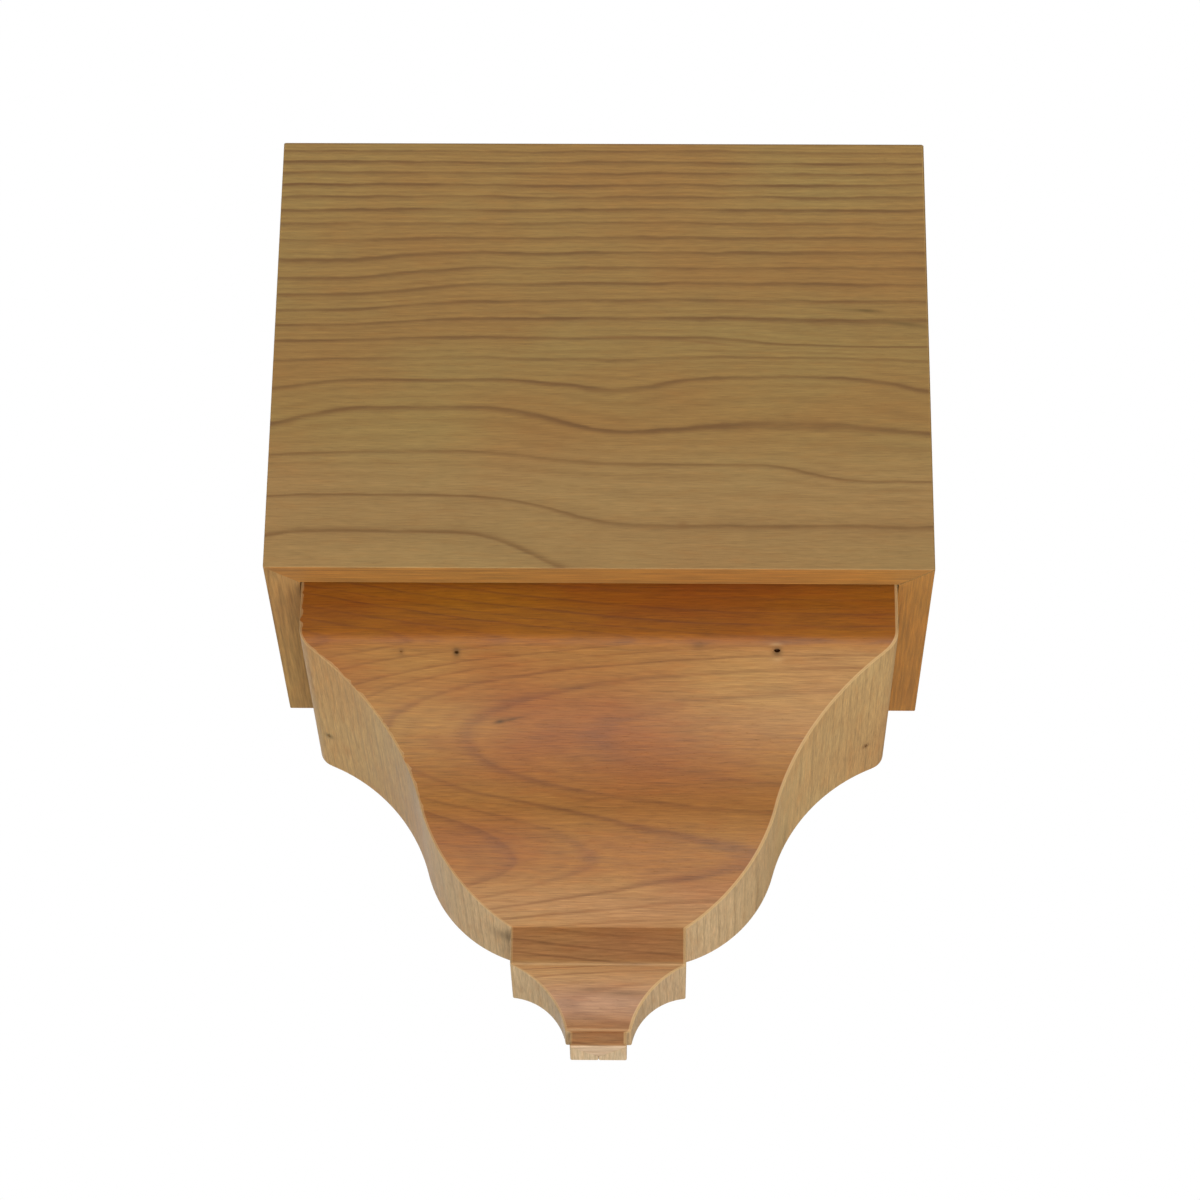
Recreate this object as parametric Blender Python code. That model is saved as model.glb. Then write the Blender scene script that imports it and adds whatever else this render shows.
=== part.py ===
"""Crown moulding block: a mitred box of thin boards, with crown moulding nested inside its lower edge.

Frame: +X to the right, +Y into the wall, +Z up. The origin is on the wall plane, at the middle of the
ceiling line, so that the block hangs below it and stands out from the wall towards -Y.
"""

import math

import bmesh
import bpy

MM = 0.001

# Box of boards, in millimetres
BOX_WIDTH = 184.0
BOARD_THICKNESS = 9.5
BOARD_HEIGHT = 136.0

# Joints, in millimetres: neighbours keep this gap, which stands for a glue line
JOINT_GAP = 0.3

# Crown moulding's section, in millimetres, from the top down: each "in" is a step towards the back of
# the moulding, and each "down" a drop in height. The cove's step in is what the others leave of the box
CROWN_LAP = 6.0
BAND_DOWN = 17.2
NOSE_RADIUS = 5.0
COVE_DOWN = 35.3
OVOLO_IN = 25.0
OVOLO_DOWN = 26.5
LOWER_BAND_DOWN = 11.0
SMALL_COVE_IN = 15.3
SMALL_COVE_DOWN = 14.0
QUIRK_IN = 1.3
LAST_BAND_DOWN = 4.5
FOOT_FLAT = 7.85
CEILING_FLAT = 5.6
WALL_FLAT = 20.2

# Directions of the curves, off plumb: where the cove turns into the ovolo, and where the small cove ends
TURN_ANGLE = math.radians(14.5)
SMALL_COVE_END_ANGLE = math.radians(10.0)

# How far the front crown's back stops short of the wall, in millimetres
FRONT_CROWN_SETBACK = 3.15

# Facets along each curve of the section
NOSE_FACETS = 8
COVE_FACETS = 28
OVOLO_FACETS = 24
SMALL_COVE_FACETS = 16

# The crown is glued inside the boards, and the two side crowns meet at the middle of the box
CROWN_INSET = BOARD_THICKNESS + JOINT_GAP
CROWN_PROJECTION = (BOX_WIDTH - JOINT_GAP) / 2 - CROWN_INSET
COVE_IN = CROWN_PROJECTION - OVOLO_IN - SMALL_COVE_IN - QUIRK_IN - FOOT_FLAT
BOX_DEPTH = CROWN_INSET + CROWN_PROJECTION + FRONT_CROWN_SETBACK

# Vertices closer than this are one, in metres
WELD = 1e-6

# Looks: colour, roughness
BOARD_WOOD = ((0.36, 0.22, 0.09, 1.0), 0.55)
CROWN_WOOD = ((0.42, 0.20, 0.07, 1.0), 0.5)

# The sides of the block, by the turn about Z that brings a run's outer face to that side
SIDES = {"left": 0.0, "front": math.radians(90), "right": math.radians(180)}


def clear_scene():
    for obj in list(bpy.context.scene.objects):
        bpy.data.objects.remove(obj, do_unlink=True)


def new_collection(name):
    collection = bpy.data.collections.new(name)
    bpy.context.scene.collection.children.link(collection)
    return collection


def wood_material(name, looks):
    colour, roughness = looks
    material = bpy.data.materials.new(name)
    material.use_nodes = True
    shader = material.node_tree.nodes["Principled BSDF"]
    shader.inputs["Base Color"].default_value = colour
    shader.inputs["Roughness"].default_value = roughness
    shader.inputs["Metallic"].default_value = 0.0
    return material


def arc_to(start, end, end_angle, facets):
    """Points after start along the arc that reaches end heading end_angle off plumb, downwards and inwards."""
    heading = (math.sin(end_angle), -math.cos(end_angle))
    across = (-heading[1], heading[0])
    back = (start[0] - end[0], start[1] - end[1])
    radius = (back[0] ** 2 + back[1] ** 2) / (2 * (across[0] * back[0] + across[1] * back[1]))
    centre = (end[0] + across[0] * radius, end[1] + across[1] * radius)
    first = math.atan2(start[1] - centre[1], start[0] - centre[0])
    last = math.atan2(end[1] - centre[1], end[0] - centre[0])
    sweep = (last - first + math.pi) % (2 * math.pi) - math.pi
    angles = [first + sweep * step / facets for step in range(1, facets + 1)]
    return [(centre[0] + abs(radius) * math.cos(a), centre[1] + abs(radius) * math.sin(a)) for a in angles]


def arc_from(start, start_angle, end, facets):
    """Points after start along the arc that leaves it heading start_angle off plumb, and reaches end."""
    return arc_to(end, start, start_angle + math.pi, facets)[-2::-1] + [end]


def nose(corner, after, radius, facets):
    """Rounds the corner between the plumb band above it and the curve that leaves it towards after."""
    turn = math.atan2(after[0] - corner[0], corner[1] - after[1])
    trim = radius * math.tan(turn / 2)
    centre = (corner[0] + radius, corner[1] + trim)
    angles = [turn * step / facets for step in range(facets + 1)]
    points = [(centre[0] - radius * math.cos(a), centre[1] - radius * math.sin(a)) for a in angles]
    return points, trim


def crown_section():
    """Outline of the crown moulding: inset from the block's outer face, height above the boards' lower edge."""
    top = (CROWN_INSET, CROWN_LAP)
    band_end = (CROWN_INSET, -BAND_DOWN)
    turn = (band_end[0] + COVE_IN, band_end[1] - COVE_DOWN)
    ovolo_end = (turn[0] + OVOLO_IN, turn[1] - OVOLO_DOWN)
    lower_band_end = (ovolo_end[0], ovolo_end[1] - LOWER_BAND_DOWN)
    small_cove_end = (lower_band_end[0] + SMALL_COVE_IN, lower_band_end[1] - SMALL_COVE_DOWN)
    last_band_top = (small_cove_end[0] + QUIRK_IN, small_cove_end[1])
    last_band_end = (last_band_top[0], last_band_top[1] - LAST_BAND_DOWN)
    foot_back = (last_band_end[0] + FOOT_FLAT, last_band_end[1])
    wall_flat_top = (foot_back[0], foot_back[1] + WALL_FLAT)
    ceiling_flat_back = (CROWN_INSET + CEILING_FLAT, CROWN_LAP)

    cove = arc_to(band_end, turn, TURN_ANGLE, COVE_FACETS)
    rounded, trim = nose(band_end, cove[0], NOSE_RADIUS, NOSE_FACETS)
    cove = [p for p in cove if math.dist(p, band_end) > trim]

    outline = [top] + rounded + cove
    outline += arc_from(turn, TURN_ANGLE, ovolo_end, OVOLO_FACETS)
    outline += [lower_band_end]
    outline += arc_to(lower_band_end, small_cove_end, SMALL_COVE_END_ANGLE, SMALL_COVE_FACETS)
    outline += [last_band_top, last_band_end, foot_back, wall_flat_top, ceiling_flat_back]
    return outline


def board_section():
    """Outline of a board: inset from the block's outer face, height above the boards' lower edge."""
    return [(0.0, 0.0), (BOARD_THICKNESS, 0.0), (BOARD_THICKNESS, BOARD_HEIGHT), (0.0, BOARD_HEIGHT)]


def run_place(side):
    """Middle of a side's run, on the block's outer face at the height of the boards' lower edge."""
    middles = {"left": (-BOX_WIDTH / 2, -BOX_DEPTH / 2), "right": (BOX_WIDTH / 2, -BOX_DEPTH / 2),
               "front": (0.0, -BOX_DEPTH)}
    x, y = middles[side]
    return (x * MM, y * MM, -BOARD_HEIGHT * MM)


def run_of_stock(name, section, side):
    """A section extruded along one side of the block, as a mesh with square ends."""
    length = BOX_WIDTH if side == "front" else BOX_DEPTH
    curve = bpy.data.curves.new(name + "_section", "CURVE")
    curve.dimensions = "2D"
    curve.fill_mode = "BOTH"
    curve.extrude = length * MM / 2
    spline = curve.splines.new("POLY")
    spline.points.add(len(section) - 1)
    for point, (inset, height) in zip(spline.points, section):
        point.co = (inset * MM, height * MM, 0.0, 1.0)
    spline.use_cyclic_u = True
    guide = bpy.data.objects.new(name + "_guide", curve)
    bpy.context.scene.collection.objects.link(guide)
    guide.rotation_euler = (math.radians(90), 0.0, SIDES[side])
    guide.location = run_place(side)
    bpy.context.view_layer.update()

    evaluated = guide.evaluated_get(bpy.context.evaluated_depsgraph_get())
    mesh = bpy.data.meshes.new_from_object(evaluated)
    mesh.name = name
    bm = bmesh.new()
    bm.from_mesh(mesh)
    bmesh.ops.remove_doubles(bm, verts=bm.verts, dist=WELD)
    bm.to_mesh(mesh)
    bm.free()
    obj = bpy.data.objects.new(name, mesh)
    obj.matrix_world = guide.matrix_world
    bpy.data.objects.remove(guide, do_unlink=True)
    bpy.data.curves.remove(curve)
    return obj


def mitre_cutter(collection, hand, trims_front):
    """A box that cuts a run's end at 45 degrees, half a joint short of the mitre at one front corner."""
    reach = 2 * (BOX_WIDTH + BOX_DEPTH + BOARD_HEIGHT) * MM
    towards_wall = 1 if trims_front else -1
    normal = (hand * towards_wall * math.sqrt(0.5), towards_wall * math.sqrt(0.5))
    offset = (reach - JOINT_GAP * MM) / 2
    corner = (hand * BOX_WIDTH * MM / 2, -BOX_DEPTH * MM)
    bpy.ops.mesh.primitive_cube_add(size=reach)
    cutter = bpy.context.object
    cutter.name = "mitre_cutter_{}_{}".format("right" if hand > 0 else "left", "front" if trims_front else "side")
    cutter.rotation_euler = (0.0, 0.0, math.radians(45))
    cutter.location = (corner[0] + normal[0] * offset, corner[1] + normal[1] * offset, 0.0)
    for owner in list(cutter.users_collection):
        owner.objects.unlink(cutter)
    collection.objects.link(cutter)
    cutter.hide_render = True
    cutter.display_type = "WIRE"
    return cutter


def mitre(obj, cutter):
    cut = obj.modifiers.new(cutter.name, "BOOLEAN")
    cut.operation = "DIFFERENCE"
    cut.solver = "EXACT"
    cut.object = cutter


def build():
    clear_scene()
    block = new_collection("crown_moulding_block")
    cutters = new_collection("cutters")
    ends = {"left": [mitre_cutter(cutters, -1, False)],
            "right": [mitre_cutter(cutters, 1, False)],
            "front": [mitre_cutter(cutters, -1, True), mitre_cutter(cutters, 1, True)]}
    stocks = {"board": (board_section(), BOARD_WOOD), "crown": (crown_section(), CROWN_WOOD)}
    for stock, (section, looks) in stocks.items():
        for side in SIDES:
            name = "{}_{}".format(side, stock)
            obj = run_of_stock(name, section, side)
            block.objects.link(obj)
            obj.data.materials.clear()
            obj.data.materials.append(wood_material(name, looks))
            for cutter in ends[side]:
                mitre(obj, cutter)


build()
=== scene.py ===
"""Crown moulding block: a box of three mitred boards, with three mitred lengths of crown moulding inside it.

Run as a script, it makes the boards, the crown moulding and the stage in that order. As an add-on it
lists the same steps in the 3D view's sidebar, with the sizes and colours that can be changed.
The block hangs on the wall: +X to the right, +Y into the wall, +Z up, in metres.
"""

import math

import bmesh
import bpy
from bpy.props import FloatProperty, FloatVectorProperty, PointerProperty
from mathutils import Matrix, Vector, noise


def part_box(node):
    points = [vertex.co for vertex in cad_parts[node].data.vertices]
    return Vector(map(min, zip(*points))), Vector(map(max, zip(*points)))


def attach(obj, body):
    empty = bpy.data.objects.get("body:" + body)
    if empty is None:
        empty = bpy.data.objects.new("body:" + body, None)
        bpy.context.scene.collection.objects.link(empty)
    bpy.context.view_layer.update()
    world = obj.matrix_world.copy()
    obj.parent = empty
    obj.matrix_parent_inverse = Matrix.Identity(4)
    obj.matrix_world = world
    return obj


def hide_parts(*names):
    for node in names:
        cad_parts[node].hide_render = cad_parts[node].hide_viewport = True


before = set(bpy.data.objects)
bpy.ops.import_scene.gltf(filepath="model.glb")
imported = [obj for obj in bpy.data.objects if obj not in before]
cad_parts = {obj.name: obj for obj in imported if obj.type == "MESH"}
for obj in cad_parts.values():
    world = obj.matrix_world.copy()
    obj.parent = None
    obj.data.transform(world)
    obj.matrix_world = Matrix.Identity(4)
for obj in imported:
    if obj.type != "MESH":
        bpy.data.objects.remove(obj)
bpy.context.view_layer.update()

bl_info = {
    "name": "Crown Moulding Block",
    "version": (1, 0, 0),
    "blender": (4, 5, 0),
    "location": "3D View > Sidebar > Crown Block",
    "description": "Dresses a mitred crown moulding block in planed cherry",
    "category": "Object",
}

MM = 0.001

# Outer faces of the block, the wall plane, and the height of the boards' lower edge
LEFT_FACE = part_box("left_board")[0].x
RIGHT_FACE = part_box("right_board")[1].x
FRONT_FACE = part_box("front_board")[0].y
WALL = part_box("left_board")[1].y
LOWER_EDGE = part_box("front_board")[0].z

# Points closer than this are one point of the section, and a bend flatter than this is none
WELD = 1e-6
STRAIGHT = math.radians(0.2)

# A section's corner turns by more than this; its curves turn by less from facet to facet
CORNER = math.radians(20)

# Pitch of the rows on a moulded face, cross-sections along a run, and the steps that round its arrises
ROW_PITCH = 0.8 * MM
FRONT_STEPS = 28
SIDE_STEPS = 14
ARRIS_STEPS = 4

# Open width between the side crowns at the middle of the foot
FOOT_GAP = 0.03 * MM

# Brad holes, in millimetres: along the run from the middle of the front or from the front face, down from the
# boards' lower edge, length, width and depth
BRAD_HOLES = {
    "front": ((-39.0, 18.9, 1.6, 1.3, 3.0), (49.0, 18.4, 2.2, 1.4, 3.0), (-54.2, 18.8, 1.1, 0.9, 0.3)),
    "left": ((72.2, 18.8, 2.2, 0.9, 3.0),),
    "right": ((75.5, 19.7, 2.2, 0.9, 3.0),),
}

# How far the left mitre's arris wanders, as a share of its radius, and over what length
RAGGED_SHARE = 1.6
RAGGED_LENGTH = 2.0 * MM

# A finer wander on top of that one: how many times finer, and its share. The arris's radius stays between
# these shares of itself
RAGGED_FINER = 3.1
RAGGED_FINER_SHARE = 0.4
RAGGED_LIMITS = (0.15, 2.0)

# Below this height, counted from the boards' lower edge, the left mitre is sound. The tearing fades over a
# length above it
SOUND_BELOW = -58.0 * MM
RAGGED_FADE = 14.0 * MM

# Near the foot a mitre's arris has only this share of its radius
FOOT_SHARE = 0.2
FOOT_HEIGHT = 1.0 * MM

# Crown stock leans back from the wall flat by this much, off plumb
STOCK_LEAN = math.radians(36)

# Tint of the painted shadow in the corner between the boards and the crown
CORNER_SHADE = (0.62, 0.52, 0.42)

# Tint of the front crown's curves, which are yellower than its upper band
CURVE_TINT = (1.0, 0.97, 0.8)

# Strength of the growth lines
BOARD_LINES = 0.95
CROWN_LINES = 0.43

# How far the paler arrises show, partly worn wood and partly painted highlight, and the share of that on each
# mitre and on the other arrises
WORN_AND_LIT_SHARE = 0.8
MITRE_WEAR_AND_HIGHLIGHT = {"left": 0.45, "right": 0.8}
EASED_WEAR_AND_HIGHLIGHT = 0.25

# Tint of the small pinker streaks in the wood
BLUSH = (1.0, 0.88, 0.78)

# Width of a growth line on its two sides, in millimetres
CRISP_EDGE = 0.4
SOFT_EDGE = 0.9

# Growth rings of the boards: rings per millimetre in front of the pith, how fast they crowd further out, and
# where they start
BOARD_RINGS = 0.124
BOARD_CROWDING = 0.0012
BOARD_START = 0.08

# Growth rings of the front crown, in millimetres: how they lean and bend along the grain, and where they
# start. There a ring has the first depth, each next one is deeper by the growth, and those before the start
# have the early depth
CROWN_LEAN = 0.053
CROWN_BEND = 0.00038
CROWN_START = 0.58
FIRST_RING = 1.1
RING_GROWTH = 0.4
EARLY_RING = 2.2

# Growth rings of the side crowns: depth of a ring in millimetres, and lean across and along the grain
SIDE_RING = 1.5
SIDE_LEAN = (0.25, 0.01)

# Rings per millimetre of face, which set how wide a growth line of the crowns is drawn
FRONT_CROWN_PACE = 0.17
SIDE_CROWN_PACE = 0.2

# Grain of planed cherry, as clouds: seed, length along the grain and width across it in millimetres, detail,
# and thickness where it isn't the width
GRAIN = {
    "patches": (31.0, 70, 28, 2.0),
    "streaks": (29.0, 24, 1.3, 3.0),
    "blush": (53.0, 9, 1.8, 2.0),
    "fibres": (37.0, 11, 0.55, 3.0),
    "threads": (41.0, 4.5, 0.22, 2.0),
    "pores": (43.0, 1.6, 0.16, 1.0),
    "flecks": (47.0, 1.8, 0.35, 1.0, 3.0),
    "saw_marks": (61.0, 20, 0.7, 2.0),
}

# Least strength of a whole growth line, and of a stretch of one
FAINTEST_LINE = 0.55
FAINTEST_STRETCH = 0.5

# Over how many millimetres along the grain a growth line, and a finer line between them, fades
LINE_FADE = 30.0
FINE_LINE_FADE = 25.0

# Finer lines between the growth lines: how many to a ring, their width in their own spacing, and strength
FINE_LINES = 3.0
FINE_LINE_EDGE = 0.3
FINE_LINE_SHARE = 0.3

# How much each kind of grain changes the wood's brightness, about a level that makes up for the pores
SHADING = {"streaks": 0.16, "fibres": 0.34, "threads": 0.4, "pores": 0.2, "flecks": 0.12}
SHADING_LEVEL = 1.01

# Relief of the grain, and gloss of the planed wood
RELIEF_DEPTH = 0.05 * MM
RELIEF_STRENGTH = 0.6
GLOSS = 0.35

# Where the boards change tone, in millimetres above their lower edge, and along the front from its middle
LOW_BOARD_END = (22.0, 48.0)
TOP_BOARD_START = (70.0, 130.0)
PALER_EDGE_START = (10.0, 90.0)
LEFT_CORNER = (-96.0, -88.0)

# Where the front crown is paler, in millimetres along it from its middle
PALER_CROWN_START = (-10.0, 75.0)

# Where the crown changes tone, in millimetres below the boards' lower edge
# The painted shadow in the corner under the boards fades out over this drop
CORNER_SHADOW_END = (0.3, 3.5)
BAND_END = (16.0, 19.0)
UPPER_COVE_END = (22.0, 48.0)
CURVES_START = (30.0, 40.0)
CURVES_END = (91.0, 97.0)
OVOLO_START = (38.0, 50.0)
OVOLO_MIDDLE = (60.0, 72.0)
OVOLO_FOOT = (66.0, 78.0)
LOWER_BAND_START = (78.6, 79.4)
LOWER_BAND_END = (88.0, 89.0)
SMALL_COVE_START = (88.5, 92.0)
SMALL_COVE_FOOT = (97.0, 105.0)
FOOT = (107.8, 108.3)
SAP_RISE = (40.0, 90.0)
MIDDLE_START = (28.0, 36.0)
MIDDLE_END = (48.0, 64.0)

# A mark on a face has gone at this depth into the wood, in millimetres
MARK_DEPTH = (8.5, 9.3)

# Brad holes: width of their bottom as a share of their mouth, and sides of their outline
HOLE_TAPER = 0.56
HOLE_SIDES = 20

# Soft lights: place, size, and the stage's setting that gives their power
SOFTBOXES = {
    "low_front_softbox": ((0.2, -0.95, -1.3), 0.8, "key_power"),
    "high_front_softbox": ((0.0, -1.3, 1.3), 1.2, "fill_power"),
    "back_softbox": ((-0.4, 1.6, 0.5), 1.2, "fill_power"),
    "left_softbox": ((-1.3, -0.4, -0.7), 0.8, "side_power"),
    "right_softbox": ((1.3, -0.4, -0.7), 0.8, "side_power"),
}

# Floor: half its width, shade of its paint, and shade in which the camera sees it
FLOOR_REACH = 4.0
FLOOR_SHADE = 0.86
FLOOR_SEEN = 0.82

# Camera: place, turns in degrees, and lens in millimetres on a sensor of that width
CAMERA_PLACE = (0.01638, -1.10355, -0.62463)
CAMERA_TURNS = (115.411, -0.577, 0.630)
CAMERA_LENS = 122.963
CAMERA_SENSOR = 36.0

# Pith of the log that the boards came from, in millimetres above their lower edge and behind their face
PITH_HEIGHT = 5.0
PITH_DEPTH = 60.0

# Places where the boards' growth rings rise or dip, in millimetres: along the grain from the middle of the
# front, up from the lower edge, half length, half width, and rise
BOARD_SWELLS = (
    (-62, 10, 50, 20, 15.5),
    (-48, 48, 40, 12, 6.0),
    (50, 54, 34, 10, 5.0),
    (84, 29, 28, 8, -7.0),
    (78, 72, 36, 4, -4.0),
    (-95, 86, 45, 16, -4.0),
    (0, 42, 300, 17, -7.0),
    (0, 88, 300, 24, -2.0),
)


def paint(red, green, blue):
    """Linear colour of a tone given in the 0 to 255 steps of a screen."""
    def linear(step):
        share = step / 255
        return share / 12.92 if share <= 0.04045 else ((share + 0.055) / 1.055) ** 2.4
    return (linear(red), linear(green), linear(blue))


def tone(name, description, colour):
    return FloatVectorProperty(name=name, description=description, default=colour,
                               subtype="COLOR", size=3, min=0.0, max=1.0)


def small_length(name, description, millimetres):
    return FloatProperty(name=name, description=description, default=millimetres * MM, min=0.0,
                         max=2.0 * MM, precision=5, unit="LENGTH")


def share(name, description, value):
    return FloatProperty(name=name, description=description, default=value, min=0.0, max=1.0,
                         subtype="FACTOR")


class CROWNBLOCK_PG_joints(bpy.types.PropertyGroup):
    board_arris: small_length("Board arris", "Radius that rounds the boards' edges and corners", 0.4)
    crown_arris: small_length("Crown arris", "Radius that rounds the crown's edges", 0.5)
    left_mitre_arris: small_length("Left mitre arris", "Radius on the crown's left mitre", 0.75)
    right_mitre_arris: small_length("Right mitre arris", "Radius on the crown's right mitre", 0.9)
    tight_mitre: small_length("Tight mitre", "Open width of a mitre that closed well", 0.06)
    open_mitre: small_length("Open mitre", "Open width of the boards' right mitre", 0.3)


class CROWNBLOCK_PG_boards(bpy.types.PropertyGroup):
    pale: tone("Pale wood", "Board wood between the growth lines", paint(153, 125, 67))
    warm: tone("Warm wood", "Board wood where it is pinker", paint(154, 109, 51))
    late: tone("Late wood", "Thin dark growth lines of the boards", paint(92, 48, 8))
    low: tone("Low wood", "Paler wood low on the boards", paint(166, 133, 86))
    # Tint of the sawn edges: partly their own grain, partly painted shade and orange bounce light
    edge: tone("Edge wood", "What the sawn edges of the boards take on", paint(240, 196, 118))
    # Paler arris colour: partly worn wood, partly painted highlight
    worn_and_lit: tone("Worn wood", "Rubbed corners and edges of the boards", paint(196, 158, 98))
    roughness: share("Roughness", "How dull the planed boards are", 0.6)


class CROWNBLOCK_PG_front_crown(bpy.types.PropertyGroup):
    pale: tone("Pale wood", "Front crown between the growth lines", paint(162, 117, 58))
    warm: tone("Warm wood", "Front crown where it is redder", paint(146, 86, 38))
    late: tone("Late wood", "Thin dark growth lines of the front crown", paint(96, 52, 28))
    # Multiplied onto the crown's upper band as painted shade under the boards' overhang, orange like light
    # bounced between the woods
    band_shade: tone("Shaded band", "What the crown's upper band takes on", paint(246, 216, 80))
    sap: tone("Sapwood", "Pale wood at the crown's foot", paint(211, 182, 151))
    # Paler arris colour: partly worn and torn wood, partly painted highlight
    worn_and_lit: tone("Worn wood", "Rubbed and torn edges of the front crown", paint(204, 168, 116))
    roughness: share("Roughness", "How dull the front crown is", 0.55)


class CROWNBLOCK_PG_side_crown(bpy.types.PropertyGroup):
    pale: tone("Pale wood", "Side crowns between the growth lines", paint(186, 154, 102))
    warm: tone("Warm wood", "Side crowns where they are pinker", paint(180, 138, 86))
    late: tone("Late wood", "Thin dark growth lines of the side crowns", paint(140, 112, 70))
    sap: tone("Sapwood", "Paler wood towards the side crowns' foot", paint(208, 184, 150))
    # Paler arris colour: partly worn and torn wood, partly painted highlight
    worn_and_lit: tone("Worn wood", "Rubbed and torn edges of the side crowns", paint(206, 170, 116))
    roughness: share("Roughness", "How dull the side crowns are", 0.6)


class CROWNBLOCK_PG_stage(bpy.types.PropertyGroup):
    surround: FloatProperty(name="Surround", description="Strength of the light from all round",
                            default=0.2, min=0.0)
    key_power: FloatProperty(name="Key light", description="Power of the light low in front",
                             default=17.0, min=0.0, unit="POWER")
    fill_power: FloatProperty(name="Fill light", description="Power of the lights above and behind",
                              default=8.0, min=0.0, unit="POWER")
    side_power: FloatProperty(name="Side lights", description="Power of the light on each side",
                              default=7.0, min=0.0, unit="POWER")
    backdrop: tone("Backdrop", "Colour of the plain background and floor", (1.0, 1.0, 1.0))
    floor_height: FloatProperty(name="Floor", description="Height of the floor below the ceiling line",
                                default=-1.45, unit="LENGTH")


class CROWNBLOCK_PG_block(bpy.types.PropertyGroup):
    joints: PointerProperty(type=CROWNBLOCK_PG_joints)
    boards: PointerProperty(type=CROWNBLOCK_PG_boards)
    front_crown: PointerProperty(type=CROWNBLOCK_PG_front_crown)
    side_crown: PointerProperty(type=CROWNBLOCK_PG_side_crown)
    stage: PointerProperty(type=CROWNBLOCK_PG_stage)


class Field:
    """A number that varies through the wood. Arithmetic on it adds Math nodes to the material."""

    def __init__(self, tree, socket):
        self.tree = tree
        self.socket = socket

    def math(self, operation, *others):
        node = self.tree.nodes.new("ShaderNodeMath")
        node.operation = operation
        for entry, value in zip(node.inputs, (self,) + others):
            plug(self.tree, entry, value)
        return Field(self.tree, node.outputs[0])

    def __add__(self, other):
        return self.math("ADD", other)

    def __sub__(self, other):
        return self.math("SUBTRACT", other)

    def __rsub__(self, other):
        return (self * -1.0) + other

    def __mul__(self, other):
        return self.math("MULTIPLY", other)

    def __truediv__(self, other):
        return self.math("DIVIDE", other)

    def __pow__(self, other):
        return self.math("POWER", other)

    __radd__ = __add__
    __rmul__ = __mul__

    def between(self, low, high):
        """0 below low, 1 above high, and a smooth climb in between."""
        node = self.tree.nodes.new("ShaderNodeMapRange")
        node.interpolation_type = "SMOOTHSTEP"
        for name, value in (("Value", self), ("From Min", low), ("From Max", high)):
            plug(self.tree, node.inputs[name], value)
        return Field(self.tree, node.outputs["Result"])


def plug(tree, entry, value):
    """Links a field or a socket to a node's input, or sets the input to a plain value."""
    if isinstance(value, Field):
        tree.links.new(value.socket, entry)
    elif isinstance(value, bpy.types.NodeSocket):
        tree.links.new(value, entry)
    else:
        entry.default_value = value


class Stock:
    """Places in the wood, in millimetres: along the grain, across the board's face, and into its depth."""

    def __init__(self, tree, along, across, depth, height):
        self.tree = tree
        self.along = along
        self.across = across
        self.depth = depth
        self.height = height
        joined = tree.nodes.new("ShaderNodeCombineXYZ")
        for entry, field in zip(joined.inputs, (along, across, depth)):
            plug(tree, entry, field)
        self.place = joined.outputs[0]

    def cloud(self, seed, length, width, detail=2.0, thickness=None):
        """Noise about zero, in patches of that length along the grain and that width across it."""
        mapped = self.tree.nodes.new("ShaderNodeMapping")
        plug(self.tree, mapped.inputs["Vector"], self.place)
        mapped.inputs["Scale"].default_value = (1 / length, 1 / width, 1 / (thickness or width))
        texture = self.tree.nodes.new("ShaderNodeTexNoise")
        texture.noise_dimensions = "4D"
        texture.inputs["W"].default_value = seed
        texture.inputs["Scale"].default_value = 1.0
        texture.inputs["Detail"].default_value = detail
        plug(self.tree, texture.inputs["Vector"], mapped.outputs[0])
        return (Field(self.tree, texture.outputs["Fac"]) - 0.5) * 2.0

    def swell(self, along, across, half_length, half_width, lift):
        """A rise in the growth rings, centred on a place on the face: flat-topped along the grain."""
        sideways = (self.along - along) / half_length
        upwards = (self.across - across) / half_width
        sideways = sideways * sideways
        return (sideways * sideways + upwards * upwards).math("MULTIPLY", -1.0).math("EXPONENT") * lift

    def mark(self, along, height, half_length, half_width, slope=0.0):
        """1 at a mark on the face, at a height on the block, and 0 away from it and on the back."""
        spot = blot(self.along, self.height - self.along * slope, along, height - along * slope,
                    half_length, half_width)
        return spot * (1.0 - self.depth.between(*MARK_DEPTH))


def blot(across, up, centre_across, centre_up, half_across, half_up):
    """1 at a centre, fading to 0 over the two half sizes."""
    sideways = (across - centre_across) / half_across
    upwards = (up - centre_up) / half_up
    return (sideways * sideways + upwards * upwards).math("MULTIPLY", -1.0).math("EXPONENT")


def object_axis(tree, direction, origin):
    """Distance in millimetres from an origin, along a direction in the block's own frame."""
    places = tree.nodes.new("ShaderNodeTexCoord")
    dot = tree.nodes.new("ShaderNodeVectorMath")
    dot.operation = "DOT_PRODUCT"
    plug(tree, dot.inputs[0], places.outputs["Object"])
    dot.inputs[1].default_value = Vector(direction) / MM
    return Field(tree, dot.outputs["Value"]) - Vector(direction).dot(Vector(origin)) / MM


def run_axes(side):
    """Directions along a side's run and inwards from its outer face, and a point to count them from."""
    if side == "front":
        return (1, 0, 0), (0, 1, 0), (0, FRONT_FACE, LOWER_EDGE)
    if side == "left":
        return (0, -1, 0), (1, 0, 0), (LEFT_FACE, FRONT_FACE + LEFT_FACE, LOWER_EDGE)
    return (0, 1, 0), (-1, 0, 0), (RIGHT_FACE, FRONT_FACE - RIGHT_FACE, LOWER_EDGE)


def board_stock(tree, side):
    """Board wood: the grain runs level, and goes on round the block's corners."""
    along, inwards, origin = run_axes(side)
    height = object_axis(tree, (0, 0, 1), origin)
    return Stock(tree, object_axis(tree, along, origin), height, object_axis(tree, inwards, origin), height)


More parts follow.
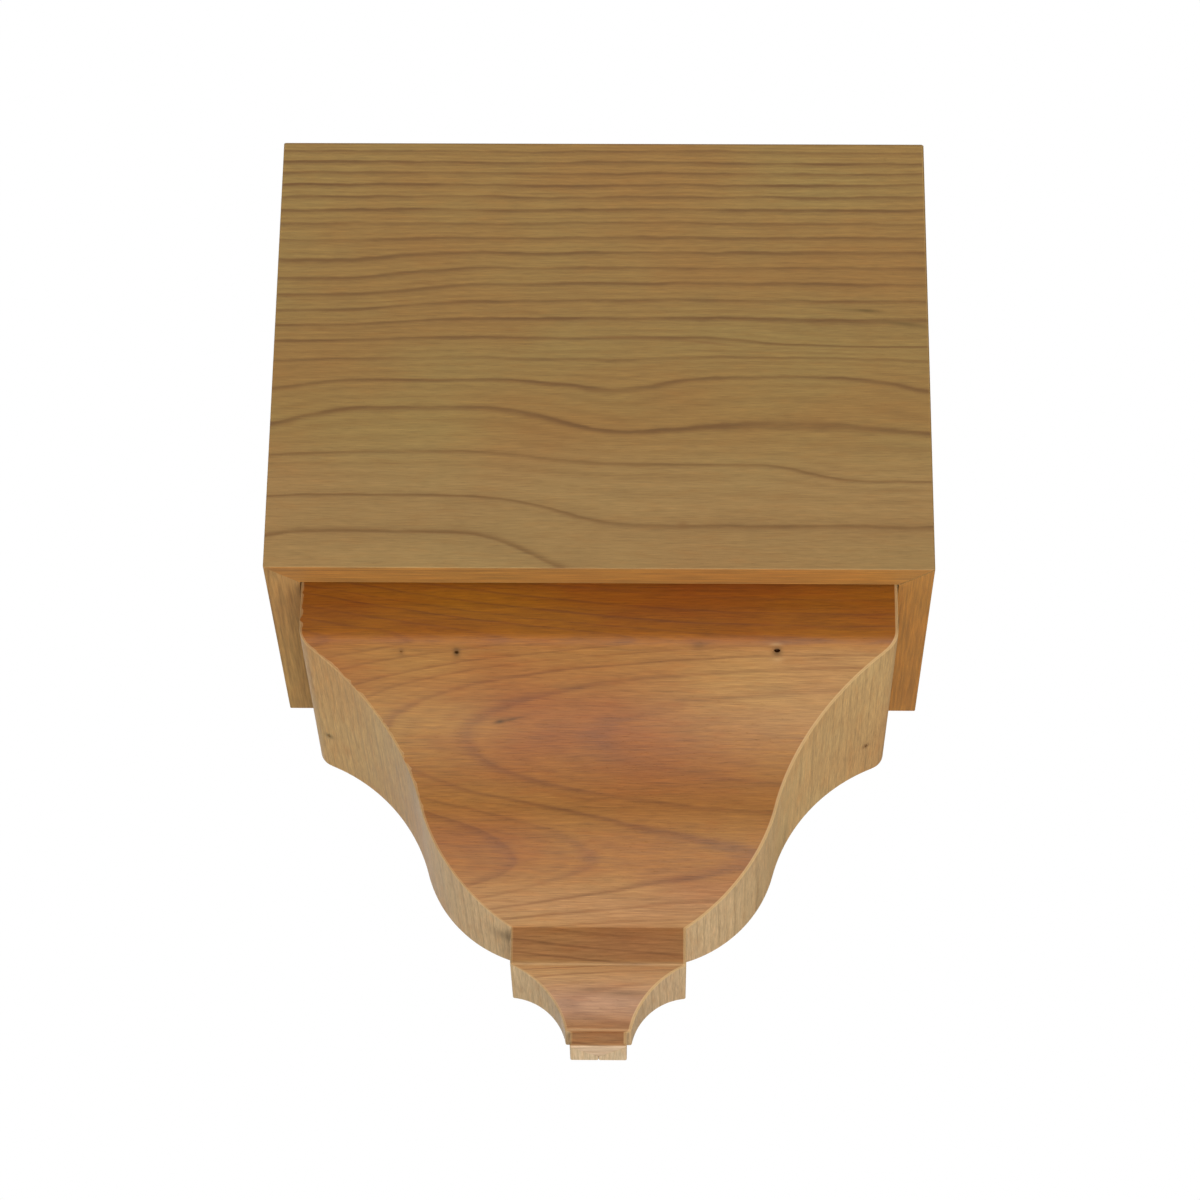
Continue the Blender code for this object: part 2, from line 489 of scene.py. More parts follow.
def crown_stock(tree, side):
    """Crown wood: the grain runs level, in a board that leans back behind the moulded face."""
    along, inwards, origin = run_axes(side)
    inset = object_axis(tree, inwards, origin)
    height = object_axis(tree, (0, 0, 1), origin)
    down_face = inset * math.sin(STOCK_LEAN) - height * math.cos(STOCK_LEAN)
    into_face = inset * math.cos(STOCK_LEAN) + height * math.sin(STOCK_LEAN)
    return Stock(tree, object_axis(tree, along, origin), down_face, into_face, height)


def late_wood(stock, rings, crisp, soft, fade_length):
    """Dark edge of each growth ring: it deepens slowly over soft, and ends sharply over crisp, in rings."""
    part = rings.math("FRACT")
    before = (part - 1.0) / soft
    after = part / crisp
    before = (before * before).math("MULTIPLY", -1.0).math("EXPONENT")
    after = (after * after).math("MULTIPLY", -1.0).math("EXPONENT")
    ring = (rings + 0.5).math("FLOOR")
    own = stock.tree.nodes.new("ShaderNodeTexWhiteNoise")
    own.noise_dimensions = "1D"
    plug(stock.tree, own.inputs["W"], ring)
    own_strength = Field(stock.tree, own.outputs["Value"]) * (1 - FAINTEST_LINE) + FAINTEST_LINE
    fading = stock.tree.nodes.new("ShaderNodeTexNoise")
    fading.noise_dimensions = "2D"
    fading.inputs["Scale"].default_value = 1.0
    fading.inputs["Detail"].default_value = 2.0
    where = stock.tree.nodes.new("ShaderNodeCombineXYZ")
    plug(stock.tree, where.inputs[0], stock.along / fade_length)
    plug(stock.tree, where.inputs[1], ring * 7.3)
    plug(stock.tree, fading.inputs["Vector"], where.outputs[0])
    patchy = Field(stock.tree, fading.outputs["Fac"]).between(0.25, 0.65)
    patchy = patchy * (1 - FAINTEST_STRETCH) + FAINTEST_STRETCH
    return before.math("MAXIMUM", after) * own_strength * patchy


def mixed(tree, amount, first, second):
    """Colour between two others."""
    node = tree.nodes.new("ShaderNodeMix")
    node.data_type = "RGBA"
    colours = [entry for entry in node.inputs if entry.type == "RGBA"]
    plug(tree, node.inputs["Factor"], amount)
    for entry, colour in zip(colours, (first, second)):
        plug(tree, entry, colour if isinstance(colour, bpy.types.NodeSocket) else tuple(colour) + (1.0,))
    return next(out for out in node.outputs if out.type == "RGBA")


def brighter(tree, colour, amount):
    """Colour times a field that is 1 where nothing changes."""
    node = tree.nodes.new("ShaderNodeVectorMath")
    node.operation = "SCALE"
    plug(tree, node.inputs[0], colour)
    plug(tree, node.inputs["Scale"], amount)
    return node.outputs[0]


def board_rings(stock):
    """Growth rings of the boards, counted from the pith, and rings per millimetre up the face."""
    wander = stock.cloud(3.0, 45, 16) * 1.0 + stock.cloud(5.0, 13, 7) * 0.6 + stock.cloud(7.0, 6, 0.9) * 0.3
    up = stock.across - PITH_HEIGHT - wander
    for swell in BOARD_SWELLS:
        up = up - stock.swell(*swell)
    out = stock.depth - PITH_DEPTH
    from_pith = (up * up + out * out) ** 0.5
    radius = from_pith - PITH_DEPTH
    pace = (radius * (2 * BOARD_CROWDING) + BOARD_RINGS) * (up.math("ABSOLUTE") + 2.0) / from_pith
    return radius * BOARD_RINGS + radius * radius * BOARD_CROWDING - BOARD_START, pace


def crown_rings(stock):
    """Growth rings of the front crown, nearly parallel to the stock's face: they run out in flames."""
    wander = stock.cloud(11.0, 50, 14) * 0.35 + stock.cloud(13.0, 16, 5) * 0.2
    wander = wander + stock.cloud(17.0, 5, 0.9) * 0.06
    level = stock.depth + stock.along * CROWN_LEAN - stock.along * stock.along * CROWN_BEND + wander
    level = level + CROWN_START
    deep = level.math("MAXIMUM", 0.0) * (2 * RING_GROWTH) + FIRST_RING ** 2
    rings = (deep ** 0.5 - FIRST_RING) / RING_GROWTH + level.math("MINIMUM", 0.0) / EARLY_RING
    return rings, FRONT_CROWN_PACE


def side_crown_rings(stock):
    """Growth rings of a side crown: finer, and straight along the run."""
    wander = stock.cloud(21.0, 90, 12) * 0.7 + stock.cloud(23.0, 20, 5) * 0.2
    wander = wander + stock.cloud(27.0, 5, 0.9) * 0.05
    level = stock.depth + stock.across * SIDE_LEAN[0] + stock.along * SIDE_LEAN[1] + wander
    return level / SIDE_RING, SIDE_CROWN_PACE


def steepness(tree):
    """1 where a face looks up or down, and 0 where it is plumb."""
    normal = tree.nodes.new("ShaderNodeNewGeometry")
    parts = tree.nodes.new("ShaderNodeSeparateXYZ")
    plug(tree, parts.inputs[0], normal.outputs["Normal"])
    return Field(tree, parts.outputs["Z"]).math("ABSOLUTE")


def tinted(tree, colour, amount, tint):
    """Colour multiplied by a tint, as far as amount says."""
    node = tree.nodes.new("ShaderNodeMix")
    node.data_type = "RGBA"
    node.blend_type = "MULTIPLY"
    colours = [entry for entry in node.inputs if entry.type == "RGBA"]
    plug(tree, node.inputs["Factor"], amount)
    plug(tree, colours[0], colour)
    plug(tree, colours[1], tuple(tint) + (1.0,))
    return next(out for out in node.outputs if out.type == "RGBA")


def board_tone(stock, colour, looks):
    """The boards are paler low down and at the top; their sawn edges are deeper, partly from their own grain
    and partly as painted shade and bounce light, and least so on the left.
    """
    tree = stock.tree
    low = (stock.height * -1.0).between(-LOW_BOARD_END[1], -LOW_BOARD_END[0])
    colour = mixed(tree, low * 0.5, colour, looks.low)
    edge = steepness(tree).between(0.5, 0.8)
    colour = brighter(tree, colour, stock.height.between(*TOP_BOARD_START) * 0.14 + 1.0)
    streaks = stock.cloud(*GRAIN["saw_marks"]) * 0.9 + stock.along.between(*PALER_EDGE_START) * 0.13
    colour = brighter(tree, colour, edge * streaks + 1.0)
    corner = stock.along.between(*LEFT_CORNER) * 0.75 + 0.25
    # Sawn edges tinted deeper and oranger: partly their grain, partly painted shade and bounce light between
    # the woods
    return tinted(tree, colour, edge * corner, looks.edge)


def front_crown_tone(stock, colour, looks):
    """The front crown is deeper in colour on its upper band, as painted shade under the boards' overhang; its
    plumb ovolo and lower band are partly painted shade, its ovolo's foot is partly painted light, and it is
    paler towards its foot.
    """
    tree = stock.tree
    band = stock.height.between(-BAND_END[1], -BAND_END[0])
    upper_cove = stock.height.between(-UPPER_COVE_END[1], -UPPER_COVE_END[0]) - band * 0.7
    paler = stock.along.between(*PALER_CROWN_START) * upper_cove * 0.25
    colour = mixed(tree, paler, colour, looks.worn_and_lit)
    # Painted shade on the upper band under the boards' overhang, orange like light bounced between the woods
    colour = tinted(tree, colour, band, looks.band_shade)
    drop = stock.height * -1.0
    ovolo = drop.between(*OVOLO_START) - drop.between(*OVOLO_MIDDLE)
    lower_band = drop.between(*LOWER_BAND_START) - drop.between(*LOWER_BAND_END)
    # Partly the wood and partly painted shade: the plumb upper ovolo and the lower band under its overhang
    # are redder and darker
    colour = mixed(tree, (ovolo + lower_band) * 0.35, colour, looks.warm)
    # Partly paler wood and partly painted light: the ovolo's down-facing foot is paler
    paler = drop.between(*OVOLO_FOOT) * 0.3 - drop.between(*LOWER_BAND_START) * 0.16
    colour = mixed(tree, paler, colour, looks.sap)
    paler = drop.between(*SMALL_COVE_START) * 0.2 - drop.between(*SMALL_COVE_FOOT) * 0.28
    colour = mixed(tree, paler, colour, looks.sap)
    colour = tinted(tree, colour, drop.between(*CURVES_START) - drop.between(*CURVES_END), CURVE_TINT)
    # Painted shadow in the corner under the boards, darkening the top of the crown's band
    corner_shadow = stock.height.between(-CORNER_SHADOW_END[1], -CORNER_SHADOW_END[0])
    colour = tinted(tree, colour, corner_shadow * 0.6, CORNER_SHADE)
    return mixed(tree, drop.between(*FOOT), colour, looks.sap)


def side_crown_tone(stock, colour, looks):
    """The side crowns are paler towards their foot, and the right one in its middle too."""
    tree = stock.tree
    drop = stock.height * -1.0
    foot = drop.between(*FOOT)
    colour = mixed(tree, drop.between(*SAP_RISE) * 0.5 + foot * 0.5, colour, looks.sap)
    on_the_right = stock.along.between(-1.0, 1.0)
    middle = (drop.between(*MIDDLE_START) - drop.between(*MIDDLE_END)) * on_the_right
    small_cove = drop.between(*SMALL_COVE_START) - foot
    return brighter(tree, colour, middle * 0.14 - small_cove * 0.1 + 1.0)


def wood(name, stock_of, side, rings_of, looks, line_share, toned, marks):
    """Planed cherry: growth lines, warm patches, fibres and pores, marks, and paler arrises that are partly
    worn wood and partly painted highlight.
    """
    material = bpy.data.materials.new(name)
    material.use_nodes = True
    tree = material.node_tree
    tree.nodes.clear()
    stock = stock_of(tree, side)
    rings, pace = rings_of(stock)

    lines = late_wood(stock, rings, pace * CRISP_EDGE, pace * SOFT_EDGE, LINE_FADE)
    finer = late_wood(stock, rings * FINE_LINES, FINE_LINE_EDGE, FINE_LINE_EDGE, FINE_LINE_FADE)
    patches = (stock.cloud(*GRAIN["patches"]) * 0.9 + 0.5).between(0.1, 0.9)
    streaks = stock.cloud(*GRAIN["streaks"])
    blush = stock.cloud(*GRAIN["blush"]).between(-0.1, 0.5)
    fibres = stock.cloud(*GRAIN["fibres"])
    threads = stock.cloud(*GRAIN["threads"])
    pores = stock.cloud(*GRAIN["pores"]).between(0.28, 0.5)
    flecks = stock.cloud(*GRAIN["flecks"]).between(0.3, 0.6)

    colour = toned(stock, mixed(tree, patches, looks.pale, looks.warm), looks)
    colour = mixed(tree, lines * line_share, colour, looks.late)
    colour = mixed(tree, finer * (line_share * FINE_LINE_SHARE), colour, looks.late)
    colour = tinted(tree, colour, blush * 0.6, BLUSH)
    value = streaks * SHADING["streaks"] + fibres * SHADING["fibres"] + threads * SHADING["threads"]
    value = value - pores * SHADING["pores"] + flecks * SHADING["flecks"] + SHADING_LEVEL
    colour = brighter(tree, colour, value)
    for place, strength, dark in marks:
        colour = mixed(tree, stock.mark(*place) * strength, colour, dark)

    # Paler arrises: partly worn wood, partly a painted highlight where light catches them
    rubbed = tree.nodes.new("ShaderNodeAttribute")
    rubbed.attribute_name = "rubbed"
    worn_and_lit = Field(tree, rubbed.outputs["Fac"])
    colour = mixed(tree, worn_and_lit * WORN_AND_LIT_SHARE, colour, looks.worn_and_lit)

    bump = tree.nodes.new("ShaderNodeBump")
    bump.inputs["Strength"].default_value = RELIEF_STRENGTH
    bump.inputs["Distance"].default_value = RELIEF_DEPTH
    plug(tree, bump.inputs["Height"], fibres * 0.5 + threads * 0.5 - pores * 0.8 - lines * 0.3)

    shader = tree.nodes.new("ShaderNodeBsdfPrincipled")
    shader.inputs["Specular IOR Level"].default_value = GLOSS
    plug(tree, shader.inputs["Base Color"], colour)
    plug(tree, shader.inputs["Roughness"], fibres * 0.08 + pores * 0.15 - lines * 0.05 + looks.roughness)
    plug(tree, shader.inputs["Normal"], bump.outputs["Normal"])
    end = tree.nodes.new("ShaderNodeOutputMaterial")
    plug(tree, end.inputs["Surface"], shader.outputs[0])
    return material


def wall_end_outline(node):
    """Section of a left-hand run, read from its end at the wall: inset from the outer face, and height."""
    bm = bmesh.new()
    bm.from_mesh(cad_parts[node].data)
    bmesh.ops.remove_doubles(bm, verts=bm.verts, dist=WELD)
    bmesh.ops.dissolve_limit(bm, angle_limit=STRAIGHT, verts=bm.verts, edges=bm.edges)
    end = max(bm.faces, key=lambda face: face.normal.y * face.calc_area())
    outline = [Vector((loop.vert.co.x - LEFT_FACE, loop.vert.co.z)) for loop in end.loops]
    bm.free()
    area = sum(a.x * b.y - b.x * a.y for a, b in zip(outline, outline[1:] + outline[:1]))
    return outline if area > 0 else outline[::-1]


def closed_at_foot(outline):
    """The outline with its wall flat moved, so that the two side crowns touch at the middle of the block."""
    deepest = max(point.x for point in outline)
    middle = (RIGHT_FACE - LEFT_FACE) / 2 - FOOT_GAP / 2
    return [Vector((middle, point.y)) if deepest - point.x < WELD else point for point in outline]


def eased(outline, radius):
    """The outline with its outward corners rounded, as (point, eased, outer) rows."""
    rows = []
    for index, corner in enumerate(outline):
        before = (corner - outline[index - 1]).normalized()
        after = (outline[(index + 1) % len(outline)] - corner).normalized()
        turn = math.atan2(before.x * after.y - before.y * after.x, before.dot(after))
        outwards = Vector((before.y + after.y, -before.x - after.x)).normalized()
        outer = outwards.x < -0.05
        following = outline[(index + 1) % len(outline)]
        lengths = [(corner - outline[index - 1]).length, (following - corner).length]
        if turn < CORNER or min(lengths) < radius:
            rows.append((corner, False, outer))
            continue
        trim = min(radius * math.tan(turn / 2), 0.4 * min(lengths))
        curve = trim / math.tan(turn / 2)
        centre = corner - before * trim + Vector((-before.y, before.x)) * curve
        for step in range(ARRIS_STEPS + 1):
            angle = turn * step / ARRIS_STEPS
            spoke = Vector((before.y, -before.x)) * curve
            spoke.rotate(Matrix.Rotation(angle, 2))
            rows.append((centre + spoke, True, outer))
    return rows


def refined(rows):
    """The rows with more of them on the moulded face, close enough for a torn arris."""
    finer = []
    for row, following in zip(rows, rows[1:] + rows[:1]):
        finer.append(row)
        steps = math.ceil((following[0] - row[0]).length / ROW_PITCH) if row[2] and following[2] else 1
        finer += [(row[0].lerp(following[0], step / steps), False, True) for step in range(1, steps)]
    return finer


def mitre_stations(row, radius, gap):
    """Where a point of the section turns into the mitre: distances from the corner, and insets."""
    (inset, _), _, outer = row
    stations = []
    kept = radius * (1 - math.sqrt(0.5))
    for step in range(ARRIS_STEPS + 1):
        angle = math.radians(45) * step / ARRIS_STEPS
        reach = radius * (1 - math.sin(angle))
        fall = radius * (1 - math.cos(angle)) if outer else 0.0
        if not outer:
            reach = (reach - kept) * radius / (radius - kept)
        stations.append((inset + reach + gap * math.sqrt(0.5), inset + fall))
    return stations


def ragged(height, radius):
    """Radius of an arris at a height: torn in its upper part, and sound lower down."""
    place = Vector((height / RAGGED_LENGTH, 0.0, 0.0))
    finer_place = Vector((RAGGED_FINER * height / RAGGED_LENGTH, 7.0, 0.0))
    wander = noise.noise(place) + RAGGED_FINER_SHARE * noise.noise(finer_place)
    torn = min(1.0, max(0.0, (height - LOWER_EDGE - SOUND_BELOW) / RAGGED_FADE))
    least, most = RAGGED_LIMITS
    return radius * min(most, max(least, 1 + RAGGED_SHARE * torn * wander))


def run_rows(side, rows, ends):
    """Points of a run as columns, one for each point of the section, from one end to the other."""
    columns = []
    foot = min(point.y for point, _, _ in rows) + FOOT_HEIGHT
    for row in rows:
        (inset, height), _, _ = row
        turned = []
        for radius, gap, torn in ends:
            wide = ragged(height, radius) if torn else radius
            turned.append(mitre_stations(row, wide if height > foot else radius * FOOT_SHARE, gap))
        if side == "front":
            first = [(LEFT_FACE + reach, FRONT_FACE + fall) for reach, fall in turned[0]][::-1]
            last = [(RIGHT_FACE - reach, FRONT_FACE + fall) for reach, fall in turned[1]]
            steps = FRONT_STEPS
        else:
            face, hand = (LEFT_FACE, 1) if side == "left" else (RIGHT_FACE, -1)
            first = [(face + hand * fall, FRONT_FACE + reach) for reach, fall in turned[0]][::-1]
            last = [(face + hand * inset, WALL)]
            steps = SIDE_STEPS
        start, stop = Vector(first[-1]), Vector(last[0])
        middle = [tuple(start.lerp(stop, step / steps)) for step in range(1, steps)]
        columns.append([(x, y, height) for x, y in first + middle + last])
    return columns


def run_mesh(name, side, rows, ends):
    """A run of board or moulding, mitred at the front corners and cut square at the wall."""
    bm = bmesh.new()
    rubbed = bm.verts.layers.float.new("rubbed")
    columns = []
    # How pale each arris is painted: partly wear, partly painted highlight, strongest on the right mitre
    wear_and_highlight = {place: MITRE_WEAR_AND_HIGHLIGHT["right" if side == "right" else "left"] for place in range(ARRIS_STEPS)}
    if side == "front":
        wear_and_highlight.update({-1 - place: MITRE_WEAR_AND_HIGHLIGHT["right"] for place in range(ARRIS_STEPS)})
    for row, points in zip(rows, run_rows(side, rows, ends)):
        column = [bm.verts.new(point) for point in points]
        for place, worn_and_lit in wear_and_highlight.items():
            column[place][rubbed] = worn_and_lit if row[2] else 0.0
        if row[1]:
            for vert in column:
                vert[rubbed] = max(vert[rubbed], EASED_WEAR_AND_HIGHLIGHT)
        columns.append(column)
    for column, following in zip(columns, columns[1:] + columns[:1]):
        for a, b, c, d in zip(column, following, following[1:], column[1:]):
            bm.faces.new((a, b, c, d))
    bm.faces.new([column[0] for column in columns])
    bm.faces.new([column[-1] for column in reversed(columns)])
    bmesh.ops.recalc_face_normals(bm, faces=bm.faces)
    mesh = bpy.data.meshes.new(name)
    bm.to_mesh(mesh)
    bm.free()
    mesh.shade_smooth()
    mesh.set_sharp_from_angle(angle=math.radians(32))
    return mesh


def on_face(rows, height):
    """Inset of the moulded face at a height, and how far it leans off plumb there."""
    crossings = []
    for (above, _, _), (below, _, _) in zip(rows, rows[1:] + rows[:1]):
        if above.y >= height > below.y:
            fall = below - above
            crossings.append((above.x + fall.x * (height - above.y) / fall.y, math.atan2(fall.x, -fall.y)))
    if not crossings:
        raise RuntimeError("The crown's face has no point at {:.4f} m".format(height))
    return min(crossings)


def brad_hole(mesh, side, rows, hole):
    """Cuts the slot that a brad leaves: longer along the grain, and narrower at its bottom."""
    along, drop, length, width, depth = [value * MM for value in hole]
    inset, slope = on_face(rows, LOWER_EDGE - drop)
    bm = bmesh.new()
    bmesh.ops.create_cone(bm, cap_ends=True, segments=HOLE_SIDES, radius1=HOLE_TAPER / 2, radius2=0.5,
                          depth=2 * depth)
    bmesh.ops.scale(bm, vec=(length, width, 1.0), verts=bm.verts)
    turn = {"front": 0.0, "left": math.radians(-90), "right": math.radians(90)}[side]
    place = {"front": (along, FRONT_FACE + inset), "left": (LEFT_FACE + inset, FRONT_FACE + along),
             "right": (RIGHT_FACE - inset, FRONT_FACE + along)}[side]
    facing = Matrix.Rotation(turn, 4, "Z") @ Matrix.Rotation(math.radians(90) + slope, 4, "X")
    bmesh.ops.transform(bm, matrix=Matrix.Translation((*place, LOWER_EDGE - drop)) @ facing, verts=bm.verts)
    bit = bpy.data.meshes.new("brad")
    bm.to_mesh(bit)
    bm.free()
    work = bpy.data.objects.new("bored", mesh)
    cutter = bpy.data.objects.new("brad", bit)
    for thing in (work, cutter):
        bpy.context.scene.collection.objects.link(thing)
    bore = work.modifiers.new("Brad", "BOOLEAN")
    bore.object = cutter
    bore.operation = "DIFFERENCE"
    bore.solver = "EXACT"
    bored = bpy.data.meshes.new_from_object(work.evaluated_get(bpy.context.evaluated_depsgraph_get()))
    for thing in (work, cutter):
        bpy.data.objects.remove(thing)
    return bored


def place_piece(name, mesh, material, node):
    """Puts a finished piece in the scene, in the place of the block's own node."""
    mesh.materials.clear()
    mesh.materials.append(material)
    piece = bpy.data.objects.new(name, mesh)
    bpy.context.scene.collection.objects.link(piece)
    shading = piece.modifiers.new("Flat faces stay flat", "WEIGHTED_NORMAL")
    shading.keep_sharp = True
    shading.weight = 80
    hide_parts(node)
    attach(piece, "root")
    return piece


def front_crown_marks():
    """Gum streaks of the front crown, and what the brads left round their holes: mark, strength, colour."""
    gum = paint(74, 52, 24)
    torn = paint(206, 166, 110)
    dark = paint(88, 58, 30)
    return (
        ((-27.4, -31.9, 1.5, 0.45, 0.1), 0.85, gum),
        ((-24.6, -31.5, 2.0, 0.3, 0.14), 0.6, gum),
        ((-22.0, -31.0, 2.4, 0.22, 0.14), 0.35, gum),
        ((49.2, -19.8, 1.6, 0.4), 0.35, torn),
        ((48.6, -17.3, 1.6, 0.35), 0.3, torn),
        ((49.0, -18.5, 1.3, 0.75), 0.8, gum),
        ((-39.0, -18.9, 1.0, 0.7), 0.8, gum),
        ((-54.2, -18.8, 0.9, 0.6), 0.45, dark),
        ((27.5, -17.6, 2.2, 0.8), 0.5, dark),
        ((8.0, -94.8, 7.5, 0.9), 0.42, dark),
        ((-5.0, -94.0, 8.0, 0.7), 0.2, dark),
    )


def left_crown_marks():
    """A dark spot where the left crown's ovolo meets its lower band, and dirt round its brad hole."""
    dark = paint(84, 68, 40)
    return (
        ((-168.0, -79.5, 4.0, 2.2), 0.6, dark),
        ((-164.2, -18.8, 1.6, 0.55), 0.7, dark),
    )


def right_crown_marks():
    """Dirt round the right crown's brad hole."""
    dirt = paint(104, 70, 36)
    return (((167.5, -19.7, 1.6, 0.55), 0.7, dirt),)


def board_marks():
    """Dark mineral streaks and short broken lines of the front board."""
    mineral = paint(84, 60, 18)
    brown = paint(120, 74, 34)
    return (
        ((74.8, 81.1, 3.8, 0.6, -0.07), 0.9, mineral),
        ((67.0, 81.6, 8.0, 0.35, -0.04), 0.4, mineral),
        ((86.0, 76.8, 6.5, 0.75, -0.14), 0.7, mineral),
        ((28.0, 70.9, 8.0, 0.45, -0.11), 0.6, brown),
        ((6.0, 72.2, 11.0, 0.5, -0.02), 0.5, brown),
        ((23.0, 13.5, 1.5, 1.2), 0.5, brown),
    )


class CROWNBLOCK_OT_boards(bpy.types.Operator):
    """Makes the three mitred boards of the box"""

    bl_idname = "crown_block.make_boards"
    bl_label = "Make the Boards"

    def execute(self, context):
        block = context.scene.crown_block
        joints = block.joints
        rows = eased(wall_end_outline("left_board"), joints.board_arris)
        left_end = (joints.board_arris, joints.tight_mitre, False)
        right_end = (joints.board_arris, joints.open_mitre, False)
        ends = {"left": [left_end], "right": [right_end], "front": [left_end, right_end]}
        for side in ends:
            mesh = run_mesh(side + "_board_planed", side, rows, ends[side])
            material = wood(side + "_board_cherry", board_stock, side, board_rings, block.boards, BOARD_LINES,
                            board_tone, board_marks())
            place_piece(side + "_board_planed", mesh, material, side + "_board")
        return {"FINISHED"}


class CROWNBLOCK_OT_crown(bpy.types.Operator):
    """Makes the three mitred lengths of crown moulding"""

    bl_idname = "crown_block.make_crown"
    bl_label = "Make the Crown Moulding"

    def execute(self, context):
        block = context.scene.crown_block
        joints = block.joints
        rows = refined(eased(closed_at_foot(wall_end_outline("left_crown")), joints.crown_arris))
        left_end = (joints.left_mitre_arris, joints.tight_mitre, True)
        right_end = (joints.right_mitre_arris, joints.tight_mitre, False)
        ends = {"left": [left_end], "right": [right_end], "front": [left_end, right_end]}
        marks = {"left": left_crown_marks(), "right": right_crown_marks(), "front": front_crown_marks()}
        for side in ends:
            mesh = run_mesh(side + "_crown_moulded", side, rows, ends[side])
            for hole in BRAD_HOLES[side]:
                mesh = brad_hole(mesh, side, rows, hole)
            looks = block.front_crown if side == "front" else block.side_crown
            rings = crown_rings if side == "front" else side_crown_rings
            toned = front_crown_tone if side == "front" else side_crown_tone
            material = wood(side + "_crown_cherry", crown_stock, side, rings, looks, CROWN_LINES, toned,
                            marks[side])
            place_piece(side + "_crown_moulded", mesh, material, side + "_crown")
        return {"FINISHED"}


def softbox(name, place, target, size, power):
    """A square area light that faces a target."""
    light = bpy.data.lights.new(name, "AREA")
    light.size = size
    light.energy = power
    lamp = bpy.data.objects.new(name, light)
    lamp.location = place
    lamp.rotation_euler = (Vector(target) - Vector(place)).to_track_quat("-Z", "Y").to_euler()
    bpy.context.scene.collection.objects.link(lamp)
    return lamp


def surround_light(colour, strength):
    """An even light from all round; what the camera sees past the block is the plain backdrop."""
    world = bpy.data.worlds.new("even_surround")
    world.use_nodes = True
    tree = world.node_tree
    tree.nodes.clear()
    seen = tree.nodes.new("ShaderNodeBackground")
    lit = tree.nodes.new("ShaderNodeBackground")
    path = tree.nodes.new("ShaderNodeLightPath")
    choice = tree.nodes.new("ShaderNodeMixShader")
    end = tree.nodes.new("ShaderNodeOutputWorld")
    for background, brightness in ((lit, strength), (seen, 1.0)):
        background.inputs["Color"].default_value = tuple(colour) + (1.0,)
        background.inputs["Strength"].default_value = brightness
    plug(tree, choice.inputs[0], path.outputs["Is Camera Ray"])
    plug(tree, choice.inputs[1], lit.outputs[0])
    plug(tree, choice.inputs[2], seen.outputs[0])
    plug(tree, end.inputs["Surface"], choice.outputs[0])
    bpy.context.scene.world = world


def pale_floor(height, colour):
    """A wide plain floor below the block."""
    bm = bmesh.new()
    bmesh.ops.create_grid(bm, x_segments=8, y_segments=8, size=FLOOR_REACH)
    mesh = bpy.data.meshes.new("pale_floor")
    bm.to_mesh(mesh)
    bm.free()
    material = bpy.data.materials.new("pale_floor_paint")
    material.use_nodes = True
    tree = material.node_tree
    matte = tree.nodes["Principled BSDF"]
    matte.inputs["Base Color"].default_value = tuple(FLOOR_SHADE * part for part in colour) + (1.0,)
    matte.inputs["Roughness"].default_value = 0.9
    seen = tree.nodes.new("ShaderNodeEmission")
    seen.inputs["Color"].default_value = tuple(FLOOR_SEEN * part for part in colour) + (1.0,)
    path = tree.nodes.new("ShaderNodeLightPath")
    choice = tree.nodes.new("ShaderNodeMixShader")
    plug(tree, choice.inputs[0], path.outputs["Is Camera Ray"])
    plug(tree, choice.inputs[1], matte.outputs[0])
    plug(tree, choice.inputs[2], seen.outputs[0])
    plug(tree, tree.nodes["Material Output"].inputs["Surface"], choice.outputs[0])
    mesh.materials.append(material)
    floor = bpy.data.objects.new("pale_floor", mesh)
    floor.location.z = height
    bpy.context.scene.collection.objects.link(floor)


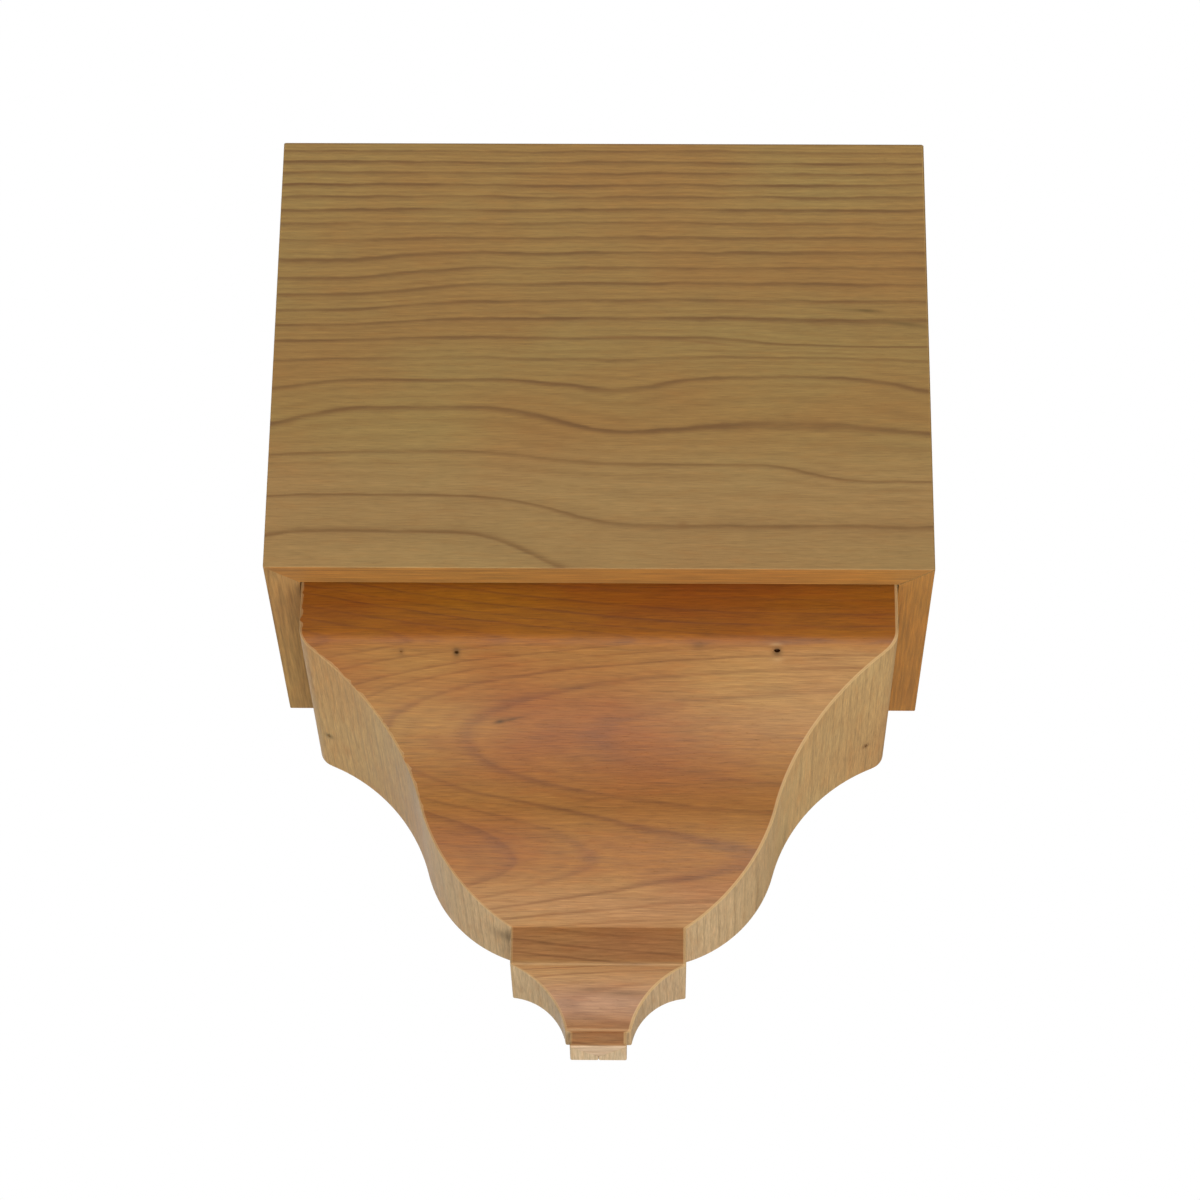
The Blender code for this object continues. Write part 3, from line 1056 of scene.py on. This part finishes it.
class CROWNBLOCK_OT_stage(bpy.types.Operator):
    """Sets the floor, the soft lights and the camera"""

    bl_idname = "crown_block.set_stage"
    bl_label = "Set the Stage"

    def execute(self, context):
        stage = context.scene.crown_block.stage
        target = (0.0, FRONT_FACE, LOWER_EDGE)
        pale_floor(stage.floor_height, stage.backdrop)
        surround_light(stage.backdrop, stage.surround)
        for name, (place, size, power) in SOFTBOXES.items():
            softbox(name, place, target, size, getattr(stage, power))
        lens = bpy.data.cameras.new("camera")
        lens.sensor_width = CAMERA_SENSOR
        lens.lens = CAMERA_LENS
        camera = bpy.data.objects.new("camera", lens)
        camera.location = CAMERA_PLACE
        camera.rotation_euler = [math.radians(turn) for turn in CAMERA_TURNS]
        context.scene.collection.objects.link(camera)
        context.scene.camera = camera
        context.scene.view_settings.view_transform = "Standard"
        return {"FINISHED"}


class CROWNBLOCK_PT_sidebar(bpy.types.Panel):
    """Steps that make the crown moulding block, and what can be changed"""

    bl_idname = "CROWNBLOCK_PT_sidebar"
    bl_label = "Crown Moulding Block"
    bl_space_type = "VIEW_3D"
    bl_region_type = "UI"
    bl_category = "Crown Block"

    def draw(self, context):
        block = context.scene.crown_block
        for group, operator in (("boards", "crown_block.make_boards"), ("front_crown", None),
                                ("side_crown", "crown_block.make_crown"), ("joints", None),
                                ("stage", "crown_block.set_stage")):
            box = self.layout.box()
            settings = getattr(block, group)
            for key in settings.__annotations__:
                box.prop(settings, key)
            if operator:
                box.operator(operator)


CLASSES = (
    CROWNBLOCK_PG_joints,
    CROWNBLOCK_PG_boards,
    CROWNBLOCK_PG_front_crown,
    CROWNBLOCK_PG_side_crown,
    CROWNBLOCK_PG_stage,
    CROWNBLOCK_PG_block,
    CROWNBLOCK_OT_boards,
    CROWNBLOCK_OT_crown,
    CROWNBLOCK_OT_stage,
    CROWNBLOCK_PT_sidebar,
)


def register():
    for cls in CLASSES:
        bpy.utils.register_class(cls)
    bpy.types.Scene.crown_block = PointerProperty(type=CROWNBLOCK_PG_block)


def unregister():
    del bpy.types.Scene.crown_block
    for cls in reversed(CLASSES):
        bpy.utils.unregister_class(cls)


def main():
    register()
    bpy.ops.crown_block.make_boards()
    bpy.ops.crown_block.make_crown()
    bpy.ops.crown_block.set_stage()


if __name__ == "__main__":
    main()
